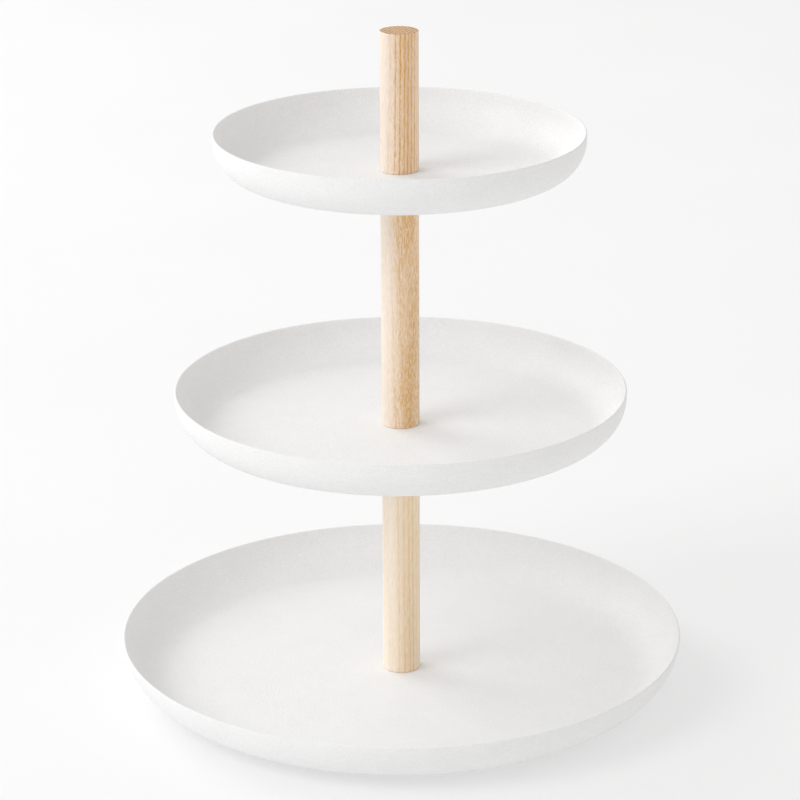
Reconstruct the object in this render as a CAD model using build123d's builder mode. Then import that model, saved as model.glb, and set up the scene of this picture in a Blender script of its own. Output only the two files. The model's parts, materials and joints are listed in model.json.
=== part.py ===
from build123d import *
import os
from math import radians, tan

# Tiered cake stand: three round pressed-steel trays, largest at the bottom, on a wooden
# post that screws together from three lengths. A stud in the foot of each upper length
# passes through the tray below it into an insert in the length underneath, so the posts
# clamp the trays. Millimetres, +Z up. The origin is on the table, on the stand's axis.

# Sheet-metal trays. The radius is taken over the rim and the depth from rim to floor.
SHEET = 1.2
STUD_HOLE_RADIUS = 3.3
LOWER_TRAY = dict(radius=140.0, depth=21.5, corner=23.0, draft=7.5)
MIDDLE_TRAY = dict(radius=110.8, depth=19.3, corner=16.5, draft=1.7)
UPPER_TRAY = dict(radius=89.4, depth=19.3, corner=16.5, draft=1.7)

# Wooden posts
POST_RADIUS = 9.3
LOWER_POST_LENGTH = 129.5
MIDDLE_POST_LENGTH = 127.4
UPPER_POST_LENGTH = 68.0
POST_EDGE = 0.4

# M6 fastenings: threads are plain cylinders at the crest diameter
THREAD_RADIUS = 3.0
RUNNING_CLEARANCE = 0.05
THREAD_CHAMFER = 0.6
STUD_BELOW_POST = 12.0
STUD_IN_POST = 18.0
STUD_POINT = 5.0
STUD_TIP_RADIUS = 1.0
INSERT_RADIUS = 4.6
INSERT_LENGTH = 13.0
INSERT_SLOT = 1.6
BORE_BEYOND_INSERT = 3.0
SCREW_SHANK = 14.0
SCREW_HEAD_RADIUS = 7.5
SCREW_HEAD = 2.0
SCREW_SOCKET = 4.0
SCREW_SOCKET_DEPTH = 1.4
WASHER_RADIUS = 9.0
WASHER_THICKNESS = 1.0

# Rubber feet
FOOT_HEIGHT = 4.0
FOOT_TOP_RADIUS = 6.0
FOOT_BASE_RADIUS = 5.0
FOOT_EDGE = 0.8
FOOT_CIRCLE_RADIUS = 98.0

# Heights that follow: each tray's underside, and each post's foot on the floor of its tray
LOWER_UNDERSIDE = FOOT_HEIGHT
LOWER_FLOOR = LOWER_UNDERSIDE + SHEET
MIDDLE_UNDERSIDE = LOWER_FLOOR + LOWER_POST_LENGTH
MIDDLE_FLOOR = MIDDLE_UNDERSIDE + SHEET
UPPER_UNDERSIDE = MIDDLE_FLOOR + MIDDLE_POST_LENGTH
UPPER_FLOOR = UPPER_UNDERSIDE + SHEET

BORE_RADIUS = THREAD_RADIUS + RUNNING_CLEARANCE
BORE_DEPTH = INSERT_LENGTH + BORE_BEYOND_INSERT

os.makedirs("parts", exist_ok=True)


def save(piece, label):
    """Name a finished piece and write its STEP file."""
    piece.label = label
    export_step(piece, f"parts/{label}.step")


def tray(underside, radius, depth, corner, draft):
    """A pressed tray: the middle line of the sheet, thickened with rounded edges and revolved."""
    half = SHEET / 2
    rim = depth + half
    wall_foot = radius - half - depth * tan(radians(draft))
    with BuildPart() as body:
        with BuildSketch(Plane.XZ):
            with BuildLine():
                FilletPolyline(
                    (STUD_HOLE_RADIUS + half, underside + half),
                    (wall_foot, underside + half),
                    (radius - half, underside + rim),
                    radius=corner,
                )
                offset(amount=half, kind=Kind.ARC, side=Side.BOTH, mode=Mode.REPLACE)
            make_face()
        revolve(axis=Axis.Z)
    return body.part


def post(foot, length, foot_bore, head_bore):
    """A dowel with eased ends. Each bore is a (radius, depth) pair, or None for a plain end."""
    with BuildPart() as dowel:
        with BuildSketch(Plane.XY.offset(foot)):
            Circle(POST_RADIUS)
        extrude(amount=length)
        chamfer(dowel.edges().filter_by(GeomType.CIRCLE), POST_EDGE)
        if foot_bore:
            for radius, depth in foot_bore:
                with BuildSketch(Plane.XY.offset(foot)):
                    Circle(radius)
                extrude(amount=depth, mode=Mode.SUBTRACT)
        if head_bore:
            for radius, depth in head_bore:
                with BuildSketch(Plane.XY.offset(foot + length)):
                    Circle(radius)
                extrude(amount=-depth, mode=Mode.SUBTRACT)
    return dowel.part


def insert(mouth, inward):
    """A threaded insert flush with a post's end at height mouth. It runs inward, +1 up or -1 down."""
    with BuildPart() as nut:
        with BuildSketch(Plane.XY.offset(mouth)):
            Circle(INSERT_RADIUS)
            Circle(BORE_RADIUS, mode=Mode.SUBTRACT)
        extrude(amount=inward * INSERT_LENGTH)
        with BuildSketch(Plane.XY.offset(mouth)):
            Rectangle(2 * INSERT_RADIUS, INSERT_SLOT)
        extrude(amount=inward * INSERT_SLOT, mode=Mode.SUBTRACT)
    return nut.part


def stud(post_foot):
    """A hanger bolt: machine thread below the post's foot, pointed wood thread above it."""
    bottom = post_foot - STUD_BELOW_POST
    top = post_foot + STUD_IN_POST
    with BuildPart() as bolt:
        with BuildSketch(Plane.XZ):
            with BuildLine():
                Polyline(
                    (0, bottom),
                    (THREAD_RADIUS - THREAD_CHAMFER, bottom),
                    (THREAD_RADIUS, bottom + THREAD_CHAMFER),
                    (THREAD_RADIUS, top - STUD_POINT),
                    (STUD_TIP_RADIUS, top),
                    (0, top),
                    close=True,
                )
            make_face()
        revolve(axis=Axis.Z)
    return bolt.part


# Trays
save(tray(LOWER_UNDERSIDE, **LOWER_TRAY), "lower_tray")
save(tray(MIDDLE_UNDERSIDE, **MIDDLE_TRAY), "middle_tray")
save(tray(UPPER_UNDERSIDE, **UPPER_TRAY), "upper_tray")

# Posts: a stepped bore for an insert, a plain one for a stud
insert_bore = [(INSERT_RADIUS, INSERT_LENGTH), (BORE_RADIUS, BORE_DEPTH)]
stud_bore = [(BORE_RADIUS, STUD_IN_POST + 1)]
save(post(LOWER_FLOOR, LOWER_POST_LENGTH, insert_bore, insert_bore), "lower_post")
save(post(MIDDLE_FLOOR, MIDDLE_POST_LENGTH, stud_bore, insert_bore), "middle_post")
save(post(UPPER_FLOOR, UPPER_POST_LENGTH, stud_bore, None), "upper_post")

# Inserts and studs
save(insert(LOWER_FLOOR, 1), "lower_post_bottom_insert")
save(insert(MIDDLE_UNDERSIDE, -1), "lower_post_top_insert")
save(insert(UPPER_UNDERSIDE, -1), "middle_post_top_insert")
save(stud(MIDDLE_FLOOR), "middle_post_stud")
save(stud(UPPER_FLOOR), "upper_post_stud")

# Washer and flat-headed socket screw under the lower tray
with BuildPart() as base_washer:
    with BuildSketch(Plane.XY.offset(LOWER_UNDERSIDE)):
        Circle(WASHER_RADIUS)
        Circle(STUD_HOLE_RADIUS, mode=Mode.SUBTRACT)
    extrude(amount=-WASHER_THICKNESS)
    outer_edges = base_washer.edges().filter_by(GeomType.CIRCLE).sort_by(SortBy.RADIUS)[-2:]
    fillet(outer_edges, WASHER_THICKNESS / 4)
save(base_washer.part, "base_washer")

screw_seat = LOWER_UNDERSIDE - WASHER_THICKNESS
with BuildPart() as base_screw:
    with BuildSketch(Plane.XY.offset(screw_seat)):
        Circle(SCREW_HEAD_RADIUS)
    extrude(amount=-SCREW_HEAD)
    chamfer(base_screw.edges().sort_by(Axis.Z)[0], SCREW_HEAD / 4)
    with BuildSketch(Plane.XY.offset(screw_seat)):
        Circle(THREAD_RADIUS)
    extrude(amount=SCREW_SHANK)
    chamfer(base_screw.edges().sort_by(Axis.Z)[-1], THREAD_CHAMFER)
    with BuildSketch(Plane.XY.offset(screw_seat - SCREW_HEAD)):
        RegularPolygon(SCREW_SOCKET / 2, 6, major_radius=False)
    extrude(amount=SCREW_SOCKET_DEPTH, mode=Mode.SUBTRACT)
save(base_screw.part, "base_screw")

# Four rubber feet on the flat of the lower tray's underside
foot_names = ["back_right_foot", "back_left_foot", "front_left_foot", "front_right_foot"]
foot_spots = PolarLocations(FOOT_CIRCLE_RADIUS, len(foot_names), start_angle=45)
for foot_name, spot in zip(foot_names, foot_spots.local_locations):
    with BuildPart() as foot:
        with BuildSketch(Plane(spot)):
            Circle(FOOT_BASE_RADIUS)
        with BuildSketch(Plane(spot).offset(FOOT_HEIGHT)):
            Circle(FOOT_TOP_RADIUS)
        loft()
        fillet(foot.edges().sort_by(Axis.Z)[0], FOOT_EDGE)
    save(foot.part, foot_name)
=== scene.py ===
import json
from math import ceil, cos, pi, radians, sin, tan

import bmesh
import bpy
from mathutils import Matrix, Vector

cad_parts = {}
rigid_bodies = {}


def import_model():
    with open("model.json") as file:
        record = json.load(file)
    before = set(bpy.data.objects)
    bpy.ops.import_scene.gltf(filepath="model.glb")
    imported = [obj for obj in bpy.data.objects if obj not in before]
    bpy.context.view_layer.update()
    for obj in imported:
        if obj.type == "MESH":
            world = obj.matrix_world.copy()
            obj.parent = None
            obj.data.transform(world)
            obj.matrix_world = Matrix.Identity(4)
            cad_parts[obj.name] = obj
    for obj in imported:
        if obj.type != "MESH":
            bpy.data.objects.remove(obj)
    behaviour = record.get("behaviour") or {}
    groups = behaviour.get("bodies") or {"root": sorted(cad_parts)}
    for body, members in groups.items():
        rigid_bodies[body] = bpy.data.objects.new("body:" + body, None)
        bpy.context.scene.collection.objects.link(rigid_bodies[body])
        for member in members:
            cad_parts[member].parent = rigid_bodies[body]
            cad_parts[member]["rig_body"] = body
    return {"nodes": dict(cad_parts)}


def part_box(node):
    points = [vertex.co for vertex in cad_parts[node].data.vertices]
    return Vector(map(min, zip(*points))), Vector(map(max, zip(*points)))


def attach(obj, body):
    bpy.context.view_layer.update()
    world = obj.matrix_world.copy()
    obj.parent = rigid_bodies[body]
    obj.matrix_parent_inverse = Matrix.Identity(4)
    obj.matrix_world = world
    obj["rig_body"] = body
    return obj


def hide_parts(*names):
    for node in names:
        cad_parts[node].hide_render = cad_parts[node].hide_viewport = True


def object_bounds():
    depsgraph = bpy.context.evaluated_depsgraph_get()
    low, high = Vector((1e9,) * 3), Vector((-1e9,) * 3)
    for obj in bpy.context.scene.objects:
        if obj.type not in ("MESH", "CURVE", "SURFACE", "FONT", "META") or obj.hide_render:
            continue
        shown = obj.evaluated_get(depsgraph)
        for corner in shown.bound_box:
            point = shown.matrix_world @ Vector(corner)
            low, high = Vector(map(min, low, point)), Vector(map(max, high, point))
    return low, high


# Looks of a three-tier cake stand: powder-coated trays on a pale wooden post that screws
# together from three lengths. Metres, +Z up. Positions and overall sizes come from the
# frame; the small forms that a box doesn't give are named here, in millimetres.

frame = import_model()
cad_low, cad_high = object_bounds()

MM = 0.001

# Forms shared with the CAD parts
SHEET = 1.2 * MM
HOLE_RADIUS = 3.3 * MM
LOWER_BEND = dict(corner=23.0 * MM, draft=radians(7.5))
UPPER_BEND = dict(corner=16.5 * MM, draft=radians(1.7))
POST_EDGE = 0.4 * MM
THREAD_RADIUS = 3.0 * MM
THREAD_ROOT = 2.47 * MM
THREAD_PITCH = 1.0 * MM
BORE_RADIUS = 3.05 * MM
INSERT_RADIUS = 4.6 * MM
INSERT_LENGTH = 13.0 * MM
BORE_BEYOND_INSERT = 3.0 * MM
STUD_BORE_DEPTH = 19 * MM
STUD_BELOW_POST = 12.0 * MM
STUD_POINT = 5.0 * MM
STUD_TIP_RADIUS = 1.0 * MM
SCREW_HEAD = 2.0 * MM
SCREW_SOCKET = 4.0 * MM
SCREW_SOCKET_DEPTH = 1.4 * MM

# Forms that only the looks have
THREAD_LEAD = 0.4 * MM
THREAD_LEAD_HEIGHT = 0.2 * MM
STUD_COLLAR = 1.2 * MM
COLLAR_EDGE = 0.3 * MM
STUD_TIP = 0.6 * MM
STUD_TIP_ROUND = 0.15 * MM
WOOD_THREAD_PITCH = 2.4 * MM
WOOD_THREAD_ROOT = 0.72
DRILL_POINT = radians(59)
WASHER_EDGE = 0.25 * MM

# How finely the meshes are divided, and how close points must be to weld
ROUND_STEPS = 6
FLOOR_STEPS = 24
BEND_STEPS = 28
WALL_STEPS = 8
RIM_STEPS = 10
HOLE_STEPS = 8
POST_FACE_STEPS = 4
POST_SIDE_STEPS = 40
THREAD_STEPS = 12
TRAY_SEGMENTS = 480
POST_SEGMENTS = 96
SMALL_SEGMENTS = 48
WELD = 1e-7

# Half the height of the wave that shapes a thread. Above a half, its crests are cut flat.
THREAD_WAVE = 0.625


# ---------------------------------------------------------------- mesh building

def circle(radius, z, segments):
    """A level ring of points about the Z axis. The radius may be a function of the angle."""
    ring = []
    for i in range(segments):
        angle = 2 * pi * i / segments
        r = radius(angle) if callable(radius) else radius
        ring.append(Vector((r * cos(angle), r * sin(angle), z)))
    return ring


def skin(mesh, rings, closed=False):
    """Faces between each ring and the next. A radius of nought becomes a pole when welded."""
    rows = [[mesh.verts.new(point) for point in ring] for ring in rings]
    pairs = list(zip(rows, rows[1:]))
    if closed:
        pairs.append((rows[-1], rows[0]))
    for below, above in pairs:
        count = len(below)
        for i in range(count):
            j = (i + 1) % count
            mesh.faces.new((below[i], below[j], above[j], above[i]))


def lathe(mesh, profile, segments, closed=False):
    """Turns a profile of (radius, height) points about the Z axis."""
    skin(mesh, [circle(r, z, segments) for r, z in profile], closed)


def arc(centre, radius, start, end, steps=ROUND_STEPS):
    """Points on an arc in the (radius, height) plane, angles in degrees from outward."""
    points = []
    for i in range(steps + 1):
        angle = radians(start + (end - start) * i / steps)
        points.append((centre[0] + radius * cos(angle), centre[1] + radius * sin(angle)))
    return points


def run(start, end, steps):
    """Evenly spaced points from start towards end, without the end point."""
    return [
        (start[0] + (end[0] - start[0]) * i / steps, start[1] + (end[1] - start[1]) * i / steps)
        for i in range(steps)
    ]


def helix(mesh, low, high, pitch, segments, crest, root):
    """A screw thread whose edges follow the helix. Crest and root are functions of height.

    Each row climbs one pitch in a turn and joins the row one pitch further on. Heights are
    held between low and high, so the rows that run out there weld into a level ring.
    """
    rise = pitch / THREAD_STEPS
    rows = []
    for k in range(THREAD_STEPS + ceil((high - low + pitch) / rise) + 1):
        wave = THREAD_WAVE + THREAD_WAVE * cos(2 * pi * k / THREAD_STEPS)
        row = []
        for i in range(segments):
            angle = 2 * pi * i / segments
            z = low - pitch + k * rise + pitch * i / segments
            held = min(max(z, low), high)
            radius = root(held)
            if low + WELD < z < high - WELD:
                radius += (crest(held) - root(held)) * min(1.0, wave)
            row.append(mesh.verts.new((radius * cos(angle), radius * sin(angle), held)))
        rows.append(row)
    for k, (below, above) in enumerate(zip(rows, rows[1:])):
        for i in range(segments - 1):
            mesh.faces.new((below[i], below[i + 1], above[i + 1], above[i]))
        if k + THREAD_STEPS + 1 < len(rows):
            seam = rows[k + THREAD_STEPS][0], rows[k + THREAD_STEPS + 1][0]
            mesh.faces.new((below[-1], seam[0], seam[1], above[-1]))


def piece(name, mesh, node, material, place=(0, 0, 0), crease=40):
    """Turns a bmesh into a piece that stands for a CAD node and moves with its body."""
    bmesh.ops.remove_doubles(mesh, verts=mesh.verts, dist=WELD)
    bmesh.ops.dissolve_degenerate(mesh, edges=mesh.edges, dist=WELD)
    bmesh.ops.recalc_face_normals(mesh, faces=mesh.faces)
    data = bpy.data.meshes.new(name)
    mesh.to_mesh(data)
    mesh.free()
    data.transform(Matrix.Translation(place))
    data.shade_smooth()
    data.set_sharp_from_angle(angle=radians(crease))
    data.materials.append(material)
    made = bpy.data.objects.new(name, data)
    bpy.context.scene.collection.objects.link(made)
    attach(made, frame["nodes"][node]["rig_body"])
    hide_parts(node)


# ---------------------------------------------------------------- materials

class Shader:
    """A Principled material on object coordinates, with short calls for wiring its nodes."""

    def __init__(self, name):
        self.material = bpy.data.materials.new(name)
        self.material.use_nodes = True
        self.tree = self.material.node_tree
        self.surface = self.tree.nodes["Principled BSDF"]
        self.spot = self.tree.nodes.new("ShaderNodeTexCoord").outputs["Object"]

    def put(self, kind, inputs, **settings):
        """Adds a node. Inputs are numbers, colours or other nodes' outputs."""
        made = self.tree.nodes.new(kind)
        for name, value in settings.items():
            setattr(made, name, value)
        for key, value in inputs.items():
            if isinstance(value, bpy.types.NodeSocket):
                self.tree.links.new(value, made.inputs[key])
            else:
                made.inputs[key].default_value = value
        return made

    def stretched(self, x, y, z):
        """Object coordinates multiplied along each axis."""
        mapping = self.put("ShaderNodeMapping", {"Vector": self.spot, "Scale": (x, y, z)})
        return mapping.outputs["Vector"]

    def noise(self, vector, size=MM, detail=2.0, roughness=0.5):
        """Smooth noise from 0 to 1 with features about as large as size."""
        inputs = {"Vector": vector, "Scale": 1 / size, "Detail": detail, "Roughness": roughness}
        return self.put("ShaderNodeTexNoise", inputs).outputs["Fac"]

    def sums(self, operation, a, b=0.0, clamp=False):
        """One step of arithmetic."""
        made = self.put("ShaderNodeMath", {0: a, 1: b}, operation=operation, use_clamp=clamp)
        return made.outputs[0]

    def share(self, value, start, end, low=0.0, high=1.0):
        """Eases from low to high as the value goes from start to end."""
        inputs = {"Value": value, "From Min": start, "From Max": end, "To Min": low, "To Max": high}
        made = self.put("ShaderNodeMapRange", inputs, interpolation_type="SMOOTHSTEP")
        return made.outputs["Result"]

    def blend(self, amount, a, b):
        """Mixes two colours."""
        return self.put("ShaderNodeMix", {0: amount, 6: a, 7: b}, data_type="RGBA").outputs[2]

    def bump(self, height, depth, under=None):
        """Relief of that depth, on top of any relief under it."""
        inputs = {"Height": height, "Distance": depth, "Strength": 1.0}
        if under:
            inputs["Normal"] = under
        return self.put("ShaderNodeBump", inputs).outputs["Normal"]

    def finish(self, **sockets):
        """Sets the surface's sockets, named with underscores for spaces, and returns the material."""
        for name, value in sockets.items():
            socket = self.surface.inputs[name.replace("_", " ")]
            if isinstance(value, bpy.types.NodeSocket):
                self.tree.links.new(value, socket)
            else:
                socket.default_value = value
        return self.material


COAT_WHITE = (0.922, 0.921, 0.921, 1)
COAT_SHADE = (0.858, 0.855, 0.853, 1)
COAT_SPECK = (0.56, 0.54, 0.52, 1)
CLOUD_SIZE = 18 * MM
PEBBLE_SIZE = 0.75 * MM
PEBBLE_DEPTH = 0.200 * MM
GRAIN_SIZE = 0.35 * MM
GRAIN_DEPTH = 0.040 * MM
SPECK_CELL = 7 * MM


def powder_coat():
    """Matte white powder coat: a soft pebbled skin, cloudy tone and a few dark specks."""
    s = Shader("powder_coat")
    cloud = s.noise(s.spot, CLOUD_SIZE, detail=3)
    pebble = s.noise(s.spot, PEBBLE_SIZE, detail=2)
    grain = s.noise(s.spot, GRAIN_SIZE, detail=2, roughness=0.6)
    tone = s.sums("ADD", s.share(cloud, 0.3, 0.7, 0, 0.2), s.share(pebble, 0.3, 0.7, 0.8, 0))
    colour = s.blend(tone, COAT_WHITE, COAT_SHADE)
    scattered = {"Vector": s.spot, "Scale": 1 / SPECK_CELL, "Randomness": 1.0}
    cells = s.put("ShaderNodeTexVoronoi", scattered)
    chance = s.put("ShaderNodeSeparateColor", {0: cells.outputs["Color"]}).outputs[0]
    rare = s.share(chance, 0.60, 0.62)
    dot = s.share(cells.outputs["Distance"], 0.022, 0.036, 1, 0)
    colour = s.blend(s.sums("MULTIPLY", rare, dot), colour, COAT_SPECK)
    relief = s.bump(grain, GRAIN_DEPTH, s.bump(pebble, PEBBLE_DEPTH))
    rough = s.share(pebble, 0.25, 0.75, 0.62, 0.50)
    return s.finish(Base_Color=colour, Roughness=rough, Normal=relief, Specular_IOR_Level=0.45)


END_PALE = (0.78, 0.50, 0.27, 1)
END_DARK = (0.29, 0.13, 0.04, 1)
PORE_BROWN = (0.52, 0.235, 0.055, 1)
WANDER_SIZE = 6 * MM
UNEVEN_SIZE = 5 * MM
PATCH_SIZE = 1.1 * MM
DASH_SIZE = 0.36 * MM
STREAK_SIZE = 0.38 * MM
FIBRE_SIZE = 0.26 * MM
TONE_SIZE = 14 * MM
PORE_DEPTH = 0.015 * MM
FIBRE_DEPTH = 0.010 * MM


def wood(name, pale, tan, across, spacing, offset, sway, painted_shade_amount, line, pore, fleck, fibre):
    """Sanded ash. Yearly rings are near-flat sheets square to the direction across.

    Spacing is the distance between rings and offset slides them all along that direction.
    Sway is how far the grain wanders sideways. The painted shade amount is how much
    painted shade, a tan deepening towards +X on the side away from the key light, is laid
    on; line how strongly the late wood shows, pore how much of it opens in short dark
    dashes, fleck how much tan streaking runs between the rings and fibre the contrast of
    the finest grain. Lines, pores and streaks are painted fainter at -X as a painted
    highlight on the lit side, and the painted shade and the lines ease off again at the
    far +X side as a painted rim light.
    """
    s = Shader(name)
    wander = {"Vector": s.stretched(1, 1, 0.5), "Scale": 1 / WANDER_SIZE}
    drift = s.put("ShaderNodeTexNoise", {**wander, "Detail": 4.0, "Roughness": 0.68})
    from_middle = {0: drift.outputs["Color"], 1: (0.5,) * 3}
    centred = s.put("ShaderNodeVectorMath", from_middle, operation="SUBTRACT")
    shift = {0: centred.outputs[0], 1: (2 * sway, 2 * sway, 0), 2: s.spot}
    grain = s.put("ShaderNodeVectorMath", shift, operation="MULTIPLY_ADD").outputs[0]

    def along(share):
        """The grain's coordinates, drawn out along the post by one over share."""
        mapping = s.put("ShaderNodeMapping", {"Vector": grain, "Scale": (1, 1, share)})
        return mapping.outputs["Vector"]

    facing_rings = {0: grain, 1: Vector(across).normalized()}
    depth = s.put("ShaderNodeVectorMath", facing_rings, operation="DOT_PRODUCT").outputs["Value"]
    uneven = s.noise(along(0.05), UNEVEN_SIZE, detail=1)
    depth = s.sums("ADD", depth, s.sums("MULTIPLY", uneven, 0.5 * spacing))
    year = s.sums("DIVIDE", s.sums("ADD", depth, offset), spacing)
    ring = s.sums("FRACT", year)
    strength = s.put("ShaderNodeTexWhiteNoise", {"W": s.sums("FLOOR", year)}, noise_dimensions="1D")
    strength = s.share(strength.outputs["Value"], 0, 1, 0.5, 1)
    late = s.sums("MULTIPLY", s.share(ring, 0.45, 0.84), s.share(ring, 0.90, 0.98, 1, 0))
    late = s.sums("MULTIPLY", late, strength)
    patchy = s.noise(along(0.12), PATCH_SIZE, detail=2)
    dashes = s.share(s.noise(along(0.28), DASH_SIZE, detail=2), 0.50, 0.60)
    streak = s.share(s.noise(along(0.12), STREAK_SIZE, detail=3, roughness=0.65), 0.41, 0.60)
    side = s.put("ShaderNodeSeparateXYZ", {"Vector": grain}).outputs["X"]
    # Painted rim light: the painted shade and the lines are eased off at the far +X edge, where light
    # comes round from the right.
    right = s.share(side, 4 * MM, 9 * MM, 1, 0.55)
    # Painted shade: a tan deepening laid over the wood towards +X, the side away from the key light.
    painted_shade_layer = s.sums("MULTIPLY", s.share(side, -7.5 * MM, 4 * MM, 0, painted_shade_amount), right)
    fine = s.noise(along(0.06), FIBRE_SIZE, detail=2)
    tone = s.noise(along(0.2), TONE_SIZE, detail=1)

    # Painted highlight: the late wood lines are painted fainter at -X, the lit side, and they also
    # fade with the painted rim light at the far +X edge.
    drawn = s.sums("MULTIPLY", late, s.share(side, -5 * MM, 1 * MM, 0.3, 1))
    drawn = s.sums("MULTIPLY", drawn, right)
    lines = s.sums("MULTIPLY", s.sums("MULTIPLY", drawn, s.share(patchy, 0.3, 0.6, 0.2, 1)), line)
    streaks = s.sums("MULTIPLY", streak, s.share(tone, 0.35, 0.6, 0.5 * fleck, fleck))
    # Painted highlight: the tan streaks are painted fainter at -X, the lit side.
    streaks = s.sums("MULTIPLY", streaks, s.share(side, -8 * MM, 1 * MM, 0.15, 1))
    amount = s.sums("ADD", s.sums("ADD", lines, streaks), painted_shade_layer, clamp=True)
    colour = s.blend(amount, (*pale, 1), (*tan, 1))
    # The pores follow the drawn lines. They carry the same painted highlight at -X and painted rim
    # light at the far +X edge.
    holes = s.sums("MULTIPLY", s.sums("MULTIPLY", dashes, s.share(drawn, 0.2, 0.7)), pore)
    colour = s.blend(holes, colour, PORE_BROWN)
    level = s.share(tone, 0.25, 0.75, 1.02, 0.97)
    value = s.sums("ADD", s.share(fine, 0.25, 0.75, -fibre, fibre), level)
    colour = s.put("ShaderNodeHueSaturation", {"Color": colour, "Value": value}).outputs["Color"]

    facing = s.put("ShaderNodeTexCoord", {}).outputs["Normal"]
    up = s.put("ShaderNodeSeparateXYZ", {"Vector": facing}).outputs["Z"]
    cut = s.share(s.sums("ABSOLUTE", up), 0.6, 0.9)
    open_pores = s.sums("MULTIPLY", dashes, 0.35)
    end = s.blend(s.sums("MAXIMUM", s.share(late, 0, 0.5), open_pores), END_PALE, END_DARK)
    colour = s.blend(cut, colour, end)

    relief = s.bump(s.sums("MULTIPLY", holes, -1.0), PORE_DEPTH, s.bump(fine, FIBRE_DEPTH))
    rough = s.share(fine, 0.2, 0.8, 0.52, 0.42)
    return s.finish(Base_Color=colour, Roughness=rough, Normal=relief, Specular_IOR_Level=0.5)


# Wood for each post. One setting in each sets how much painted shade deepens it towards +X.
UPPER_WOOD = dict(
    pale=(0.92, 0.80, 0.685), tan=(0.72, 0.385, 0.105),
    across=(0.866, 0.5, -0.012), spacing=1.9 * MM, offset=1.4 * MM, sway=0.45 * MM,
    painted_shade_amount=0.47, line=1.0, pore=1.0, fleck=0.30, fibre=0.10,
)
MIDDLE_WOOD = dict(
    pale=(0.94, 0.825, 0.71), tan=(0.72, 0.41, 0.13),
    across=(0.5, -1, 0.02), spacing=2.6 * MM, offset=0.0, sway=0.55 * MM,
    painted_shade_amount=0.44, line=0.30, pore=0.40, fleck=0.68, fibre=0.07,
)
LOWER_WOOD = dict(
    pale=(0.965, 0.85, 0.715), tan=(0.785, 0.50, 0.19),
    across=(0.8, 0.6, 0.004), spacing=2.4 * MM, offset=0.6 * MM, sway=0.30 * MM,
    painted_shade_amount=0.34, line=0.60, pore=0.12, fleck=0.20, fibre=0.07,
)


ZINC = dict(colour=(0.66, 0.67, 0.69), dark=(0.52, 0.53, 0.56), roughness=0.34, scratch=0.006 * MM)
BRASS = dict(colour=(0.72, 0.58, 0.32), dark=(0.60, 0.45, 0.22), roughness=0.30, scratch=0.01 * MM)
RUBBER_GREY = (0.50, 0.50, 0.49, 1)
RUBBER_DUST = (0.62, 0.61, 0.59, 1)


def metal(name, colour, dark, roughness, scratch):
    """Turned or plated metal: fine marks round the axis and a slightly clouded tone."""
    s = Shader(name)
    marks = s.noise(s.stretched(1, 1, 9), 1.2 * MM, detail=3)
    cloud = s.noise(s.spot, 3 * MM, detail=3)
    tone = s.blend(s.share(cloud, 0.35, 0.75), (*colour, 1), (*dark, 1))
    relief = s.bump(marks, scratch)
    rough = s.share(cloud, 0.3, 0.7, roughness - 0.06, roughness + 0.08)
    return s.finish(Base_Color=tone, Metallic=1.0, Roughness=rough, Normal=relief)


def rubber():
    """Soft grey moulded rubber with a fine matte grain and a little dust."""
    s = Shader("foot_rubber")
    grain = s.noise(s.spot, 0.25 * MM, detail=2)
    dust = s.noise(s.spot, 2.5 * MM, detail=3)
    colour = s.blend(s.share(dust, 0.45, 0.8, 0, 0.5), RUBBER_GREY, RUBBER_DUST)
    relief = s.bump(grain, 0.02 * MM)
    rough = s.share(dust, 0.3, 0.7, 0.70, 0.85)
    return s.finish(Base_Color=colour, Roughness=rough, Normal=relief, Specular_IOR_Level=0.3)


# ---------------------------------------------------------------- pieces

def tray(tier, corner, draft, material):
    """A pressed tray: the sheet's middle line, thickened, with rounded rim and hole edge."""
    node = f"{tier}_tray"
    low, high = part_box(node)
    half = SHEET / 2
    level = low.z + half
    rim = high.z - half
    foot = high.x - half - (rim - level) * tan(draft)
    turn = pi / 2 - draft
    reach = corner * tan(turn / 2)
    centre = (foot - reach, level + corner)
    wall_start = (foot + reach * sin(draft), level + reach * cos(draft))
    hole = HOLE_RADIUS + half

    flat = run((hole, level), (foot - reach, level), FLOOR_STEPS)
    line = [(spot, (0, 1)) for spot in flat]
    for i in range(BEND_STEPS + 1):
        angle = turn * i / BEND_STEPS
        spot = (centre[0] + corner * sin(angle), centre[1] - corner * cos(angle))
        line.append((spot, (-sin(angle), cos(angle))))
    inward = (-cos(draft), sin(draft))
    wall = run(wall_start, (high.x - half, rim), WALL_STEPS)[1:]
    line += [(spot, inward) for spot in wall]
    line.append(((high.x - half, rim), inward))

    inside = [(p[0] + half * n[0], p[1] + half * n[1]) for p, n in line]
    outside = [(p[0] - half * n[0], p[1] - half * n[1]) for p, n in line]
    tilt = draft * 180 / pi
    rim_round = arc(line[-1][0], half, 180 - tilt, -tilt, RIM_STEPS)[1:-1]
    hole_round = arc(line[0][0], half, 270, 90, HOLE_STEPS)[1:-1]
    mesh = bmesh.new()
    lathe(mesh, inside + rim_round + outside[::-1] + hole_round, TRAY_SEGMENTS, closed=True)
    piece(f"{tier}_tray_pressing", mesh, node, material)


def bore(z, inward, steps):
    """Profile of a drilled bore from its drill point out to the face at height z."""
    radius, depth = steps[-1]
    profile = [(0, z + inward * (depth + radius / tan(DRILL_POINT)))]
    for radius, depth in reversed(steps):
        profile.append((radius, z + inward * depth))
        shallower = [d for r, d in steps if d < depth]
        profile.append((radius, z + inward * max(shallower, default=0)))
    return profile


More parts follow.
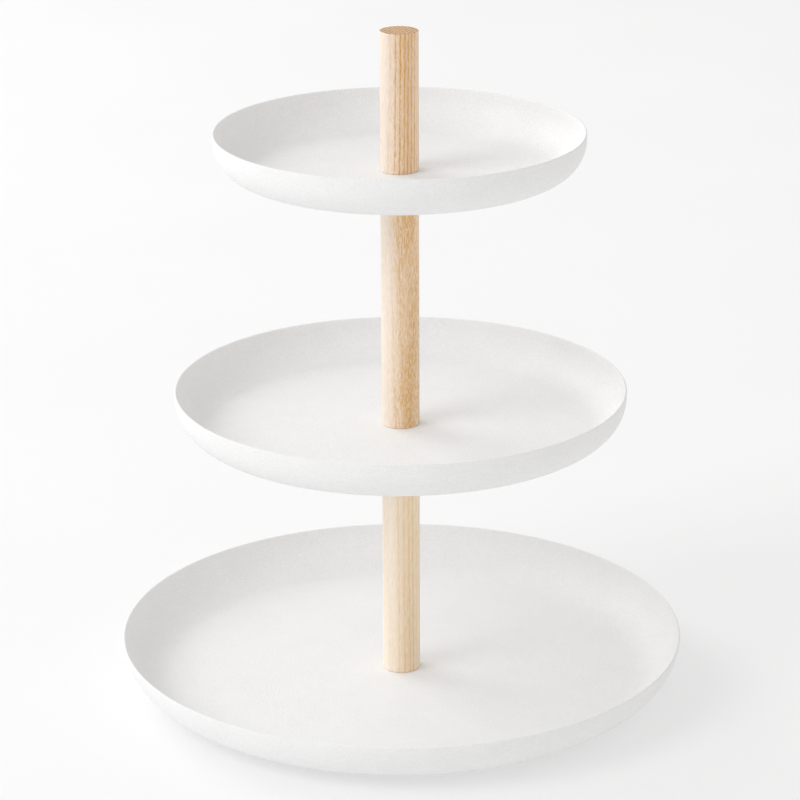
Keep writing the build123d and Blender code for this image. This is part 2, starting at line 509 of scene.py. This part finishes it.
def post(tier, foot_bore, head_bore, material):
    """A dowel with eased ends, its bores, and a side divided finely enough to bake well."""
    node = f"{tier}_post"
    low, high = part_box(node)
    edge = POST_EDGE
    radius = high.x
    foot = bore(low.z, 1, foot_bore)
    head = bore(high.z, -1, head_bore)[::-1] if head_bore else [(0, high.z)]
    face_foot = run(foot[-1], (radius - edge, low.z), POST_FACE_STEPS)[1:]
    face_head = run((radius - edge, high.z), head[0], POST_FACE_STEPS)[1:]
    profile = foot + face_foot
    profile += arc((radius - edge, low.z + edge), edge, -90, 0)
    profile += run((radius, low.z + edge), (radius, high.z - edge), POST_SIDE_STEPS)[1:]
    profile += arc((radius - edge, high.z - edge), edge, 0, 90)
    profile += face_head + head
    mesh = bmesh.new()
    lathe(mesh, profile, POST_SEGMENTS)
    piece(f"{tier}_post_dowel", mesh, node, material)


def stud(tier, material):
    """A hanger bolt: machine thread below the post's foot, pointed wood thread above it."""
    node = f"{tier}_post_stud"
    low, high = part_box(node)
    foot = low.z + STUD_BELOW_POST
    seat = foot - STUD_COLLAR
    start = foot + STUD_COLLAR
    point = high.z - STUD_POINT

    def tapered(radius):
        def at(z):
            past = max(0.0, z - point) / STUD_POINT
            return radius * (1 - past) + STUD_TIP_RADIUS * past
        return at

    def chamfered(z):
        return min(THREAD_RADIUS, THREAD_ROOT + max(0.0, z - low.z))

    mesh = bmesh.new()
    thread_end = low.z + THREAD_LEAD_HEIGHT
    lead = [(0, low.z), (THREAD_ROOT - THREAD_LEAD, low.z), (THREAD_ROOT, thread_end)]
    lathe(mesh, lead, SMALL_SEGMENTS)
    helix(mesh, thread_end, seat, THREAD_PITCH, SMALL_SEGMENTS, chamfered, lambda z: THREAD_ROOT)
    root = tapered(THREAD_RADIUS * WOOD_THREAD_ROOT)
    waist = THREAD_RADIUS - COLLAR_EDGE
    collar = [(THREAD_ROOT, seat), (waist, seat + COLLAR_EDGE)]
    collar += [(waist, start - COLLAR_EDGE), (root(start), start)]
    lathe(mesh, collar, SMALL_SEGMENTS)
    tip_start = high.z - STUD_TIP
    helix(mesh, start, tip_start, WOOD_THREAD_PITCH, SMALL_SEGMENTS, tapered(THREAD_RADIUS), root)
    tip = root(tip_start)
    point_end = [(tip, tip_start), (tip * 0.5, high.z - STUD_TIP_ROUND), (0, high.z)]
    lathe(mesh, point_end, SMALL_SEGMENTS)
    piece(f"{tier}_stud_hanger_bolt", mesh, node, material, crease=30)


def washer(material):
    """A stamped washer with soft edges."""
    low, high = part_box("base_washer")
    radius = high.x
    inner = HOLE_RADIUS
    edge = WASHER_EDGE
    profile = arc((inner + edge / 2, low.z + edge / 2), edge / 2, 180, 270, 4)
    profile += run((inner + edge, low.z), (radius - edge, low.z), 6)
    profile += arc((radius - edge, low.z + edge), edge, -90, 0)
    profile += arc((radius - edge, high.z - edge), edge, 0, 90)
    profile += run((radius - edge, high.z), (inner + edge, high.z), 6)[1:]
    profile += arc((inner + edge / 2, high.z - edge / 2), edge / 2, 90, 180, 4)
    mesh = bmesh.new()
    lathe(mesh, profile, 2 * SMALL_SEGMENTS, closed=True)
    piece("base_washer_disc", mesh, "base_washer", material)


def base_screw(material):
    """A flat-headed socket screw seen from below: domed edge, chamfered hexagon socket."""
    low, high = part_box("base_screw")
    seat = low.z + SCREW_HEAD
    head = high.x
    socket_floor = low.z + SCREW_SOCKET_DEPTH

    def hexagon(across):
        return lambda angle: across / 2 / cos((angle + pi / 6) % (pi / 3) - pi / 6)

    socket = [
        (0, socket_floor),
        (hexagon(SCREW_SOCKET * 0.5), socket_floor),
        (hexagon(SCREW_SOCKET - 0.15 * MM), socket_floor),
        (hexagon(SCREW_SOCKET), socket_floor - 0.1 * MM),
        (hexagon(SCREW_SOCKET), low.z + 0.2 * MM),
        (SCREW_SOCKET / 2 + 0.5 * MM, low.z + 0.02 * MM),
        (SCREW_SOCKET / 2 + 0.8 * MM, low.z),
    ]
    dome = 1.2 * MM
    edge = 0.15 * MM
    outline = [(head - 2 * dome, low.z)]
    for i in range(ROUND_STEPS + 1):
        angle = radians(15 * i)
        outline.append((head - dome + dome * sin(angle), low.z + dome - dome * cos(angle)))
    outline += arc((head - edge, seat - edge), edge, 0, 90, 3)
    outline += [(THREAD_RADIUS + 0.2 * MM, seat), (THREAD_RADIUS, seat + 0.2 * MM)]
    shank = seat + 1.5 * MM
    outline += [(THREAD_RADIUS, shank - 0.4 * MM), (THREAD_ROOT, shank)]
    mesh = bmesh.new()
    lathe(mesh, socket + outline, SMALL_SEGMENTS)
    end = high.z - THREAD_LEAD_HEIGHT

    def chamfered(z):
        return min(THREAD_RADIUS, THREAD_ROOT + max(0.0, end - z))

    helix(mesh, shank, end, THREAD_PITCH, SMALL_SEGMENTS, chamfered, lambda z: THREAD_ROOT)
    lead = [(THREAD_ROOT, end), (THREAD_ROOT - THREAD_LEAD, high.z), (0, high.z)]
    lathe(mesh, lead, SMALL_SEGMENTS)
    piece("base_screw_body", mesh, "base_screw", material, crease=30)


def rubber_foot(node, material):
    """A moulded rubber foot: lip under the tray, waisted side, rounded tread with a hollow."""
    low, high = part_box(node)
    centre = (low + high) / 2
    top = high.x - centre.x
    base = high.x - centre.x - 1.0 * MM
    height = high.z - low.z
    lip = 0.7 * MM
    tread = 0.8 * MM
    hollow = 0.5 * MM
    profile = [(0, hollow), (base * 0.4, hollow * 0.9)]
    profile += arc((base - 2 * tread, tread * 0.5), tread * 0.5, 215, 270, 4)
    profile += arc((base - tread, tread), tread, -90, -8)
    profile += [(base + 0.05 * MM, height * 0.4), (base + 0.3 * MM, height * 0.65)]
    profile += [(top - 0.35 * MM, height - lip - 0.15 * MM), (top - 0.1 * MM, height - lip)]
    profile += arc((top - lip / 2, height - lip / 2), lip / 2, -45, 90)
    profile += [(top * 0.5, height), (0, height)]
    mesh = bmesh.new()
    lathe(mesh, profile, SMALL_SEGMENTS)
    place = (centre.x, centre.y, low.z)
    piece(f"{node}_bumper", mesh, node, material, place=place)


coat = powder_coat()
tray("lower", material=coat, **LOWER_BEND)
tray("middle", material=coat, **UPPER_BEND)
tray("upper", material=coat, **UPPER_BEND)

bore_depth = INSERT_LENGTH + BORE_BEYOND_INSERT
insert_bore = [(INSERT_RADIUS, INSERT_LENGTH), (BORE_RADIUS, bore_depth)]
stud_bore = [(BORE_RADIUS, STUD_BORE_DEPTH)]
post("lower", insert_bore, insert_bore, wood("lower_wood", **LOWER_WOOD))
post("middle", stud_bore, insert_bore, wood("middle_wood", **MIDDLE_WOOD))
post("upper", stud_bore, None, wood("upper_wood", **UPPER_WOOD))

steel = metal("zinc_steel", **ZINC)
stud("middle", steel)
stud("upper", steel)
washer(steel)
base_screw(steel)

grey_rubber = rubber()
for name in sorted(frame["nodes"]):
    if name.endswith("_foot"):
        rubber_foot(name, grey_rubber)

brass = metal("turned_brass", **BRASS)
for name, node in frame["nodes"].items():
    if name.endswith("_insert"):
        node.data.materials.clear()
        node.data.materials.append(brass)


# ---------------------------------------------------------------- floor, light and camera

FLOOR_WHITE = (0.57, 0.57, 0.57, 1)
FLOOR_SHADE = (0.56, 0.56, 0.56, 1)
FLOOR_MOTTLE = 0.2
FLOOR_GLOW = 0.38
FLOOR_REACH = 9.0
FLOOR_GAP = 0.0001
SKY_OVERHEAD = (0.685, 0.685, 0.685, 1)
SKY_HORIZON = (0.91, 0.91, 0.91, 1)
SKY_RIGHT = (0.80, 0.775, 0.74, 1)
SKY_FADE_HEIGHT = 0.6
SKY_FADE_RIGHT = (-0.2, 0.9)
SOFTBOX_SIZE = 1.6
KEY_POWER = 27.0
KEY_PLACE = Vector((-2.2, -1.2, 2.0))
REAR_POWER = 21.6
REAR_PLACE = Vector((-1.8, 1.6, 1.6))
LENS = 137.6
SENSOR_WIDTH = 36
NEAREST = 0.1
FARTHEST = 40
CAMERA_PLACE = Vector((-0.0003, -1.416, 0.6477))
CAMERA_DOWN = radians(19.447)
CAMERA_ROLL = radians(-0.259)


def make_floor():
    """A wide table of pale acrylic under the stand's feet, softly lit from below."""
    s = Shader("pale_table")
    mottle = s.noise(s.spot, FLOOR_MOTTLE, detail=3)
    colour = s.blend(s.share(mottle, 0.3, 0.7), FLOOR_WHITE, FLOOR_SHADE)
    glow = dict(Emission_Color=(1, 1, 1, 1), Emission_Strength=FLOOR_GLOW)
    material = s.finish(Base_Color=colour, Roughness=0.8, Specular_IOR_Level=0.1, **glow)
    mesh = bmesh.new()
    bmesh.ops.create_grid(mesh, x_segments=16, y_segments=16, size=FLOOR_REACH)
    data = bpy.data.meshes.new("table_top")
    mesh.to_mesh(data)
    mesh.free()
    data.materials.append(material)
    made = bpy.data.objects.new("table_top", data)
    made.location.z = -FLOOR_GAP
    bpy.context.scene.collection.objects.link(made)


def softbox(name, place, power):
    """A square softbox aimed at the middle of the stand."""
    lamp = bpy.data.lights.new(name, "AREA")
    lamp.size = SOFTBOX_SIZE
    lamp.energy = power
    made = bpy.data.objects.new(name, lamp)
    made.location = place
    aim = (cad_low + cad_high) / 2 - place
    made.rotation_euler = aim.to_track_quat("-Z", "Y").to_euler()
    bpy.context.scene.collection.objects.link(made)


def make_light():
    """White surroundings, brighter low down except at the right, and softboxes at the left."""
    world = bpy.data.worlds.new("studio")
    world.use_nodes = True
    tree = world.node_tree
    way = tree.nodes.new("ShaderNodeTexCoord").outputs["Generated"]
    split = tree.nodes.new("ShaderNodeSeparateXYZ")
    tree.links.new(way, split.inputs["Vector"])

    def blend(value, start, end, a, b):
        """Eases from colour a to colour b as the value goes from start to end."""
        fade = tree.nodes.new("ShaderNodeMapRange")
        fade.interpolation_type = "SMOOTHSTEP"
        fade.inputs["From Min"].default_value = start
        fade.inputs["From Max"].default_value = end
        tree.links.new(value, fade.inputs["Value"])
        mix = tree.nodes.new("ShaderNodeMix")
        mix.data_type = "RGBA"
        tree.links.new(fade.outputs["Result"], mix.inputs[0])
        for socket, colour in ((mix.inputs[6], a), (mix.inputs[7], b)):
            if isinstance(colour, bpy.types.NodeSocket):
                tree.links.new(colour, socket)
            else:
                socket.default_value = colour
        return mix.outputs[2]

    low_sky = blend(split.outputs["X"], *SKY_FADE_RIGHT, SKY_HORIZON, SKY_RIGHT)
    sky = blend(split.outputs["Z"], 0.0, SKY_FADE_HEIGHT, low_sky, SKY_OVERHEAD)
    tree.links.new(sky, tree.nodes["Background"].inputs["Color"])
    bpy.context.scene.world = world
    softbox("key_softbox", KEY_PLACE, KEY_POWER)
    softbox("rear_softbox", REAR_PLACE, REAR_POWER)


def make_camera():
    """A long lens looking slightly down on the stand."""
    data = bpy.data.cameras.new("camera")
    data.lens = LENS
    data.sensor_width = SENSOR_WIDTH
    data.clip_start = NEAREST
    data.clip_end = FARTHEST
    made = bpy.data.objects.new("camera", data)
    tilt = Matrix.Rotation(pi / 2 - CAMERA_DOWN, 4, "X")
    roll = Matrix.Rotation(CAMERA_ROLL, 4, "Z")
    made.matrix_world = Matrix.Translation(CAMERA_PLACE) @ tilt @ roll
    bpy.context.scene.collection.objects.link(made)
    bpy.context.scene.camera = made


make_floor()
make_light()
make_camera()
bpy.context.scene.view_settings.view_transform = "Standard"
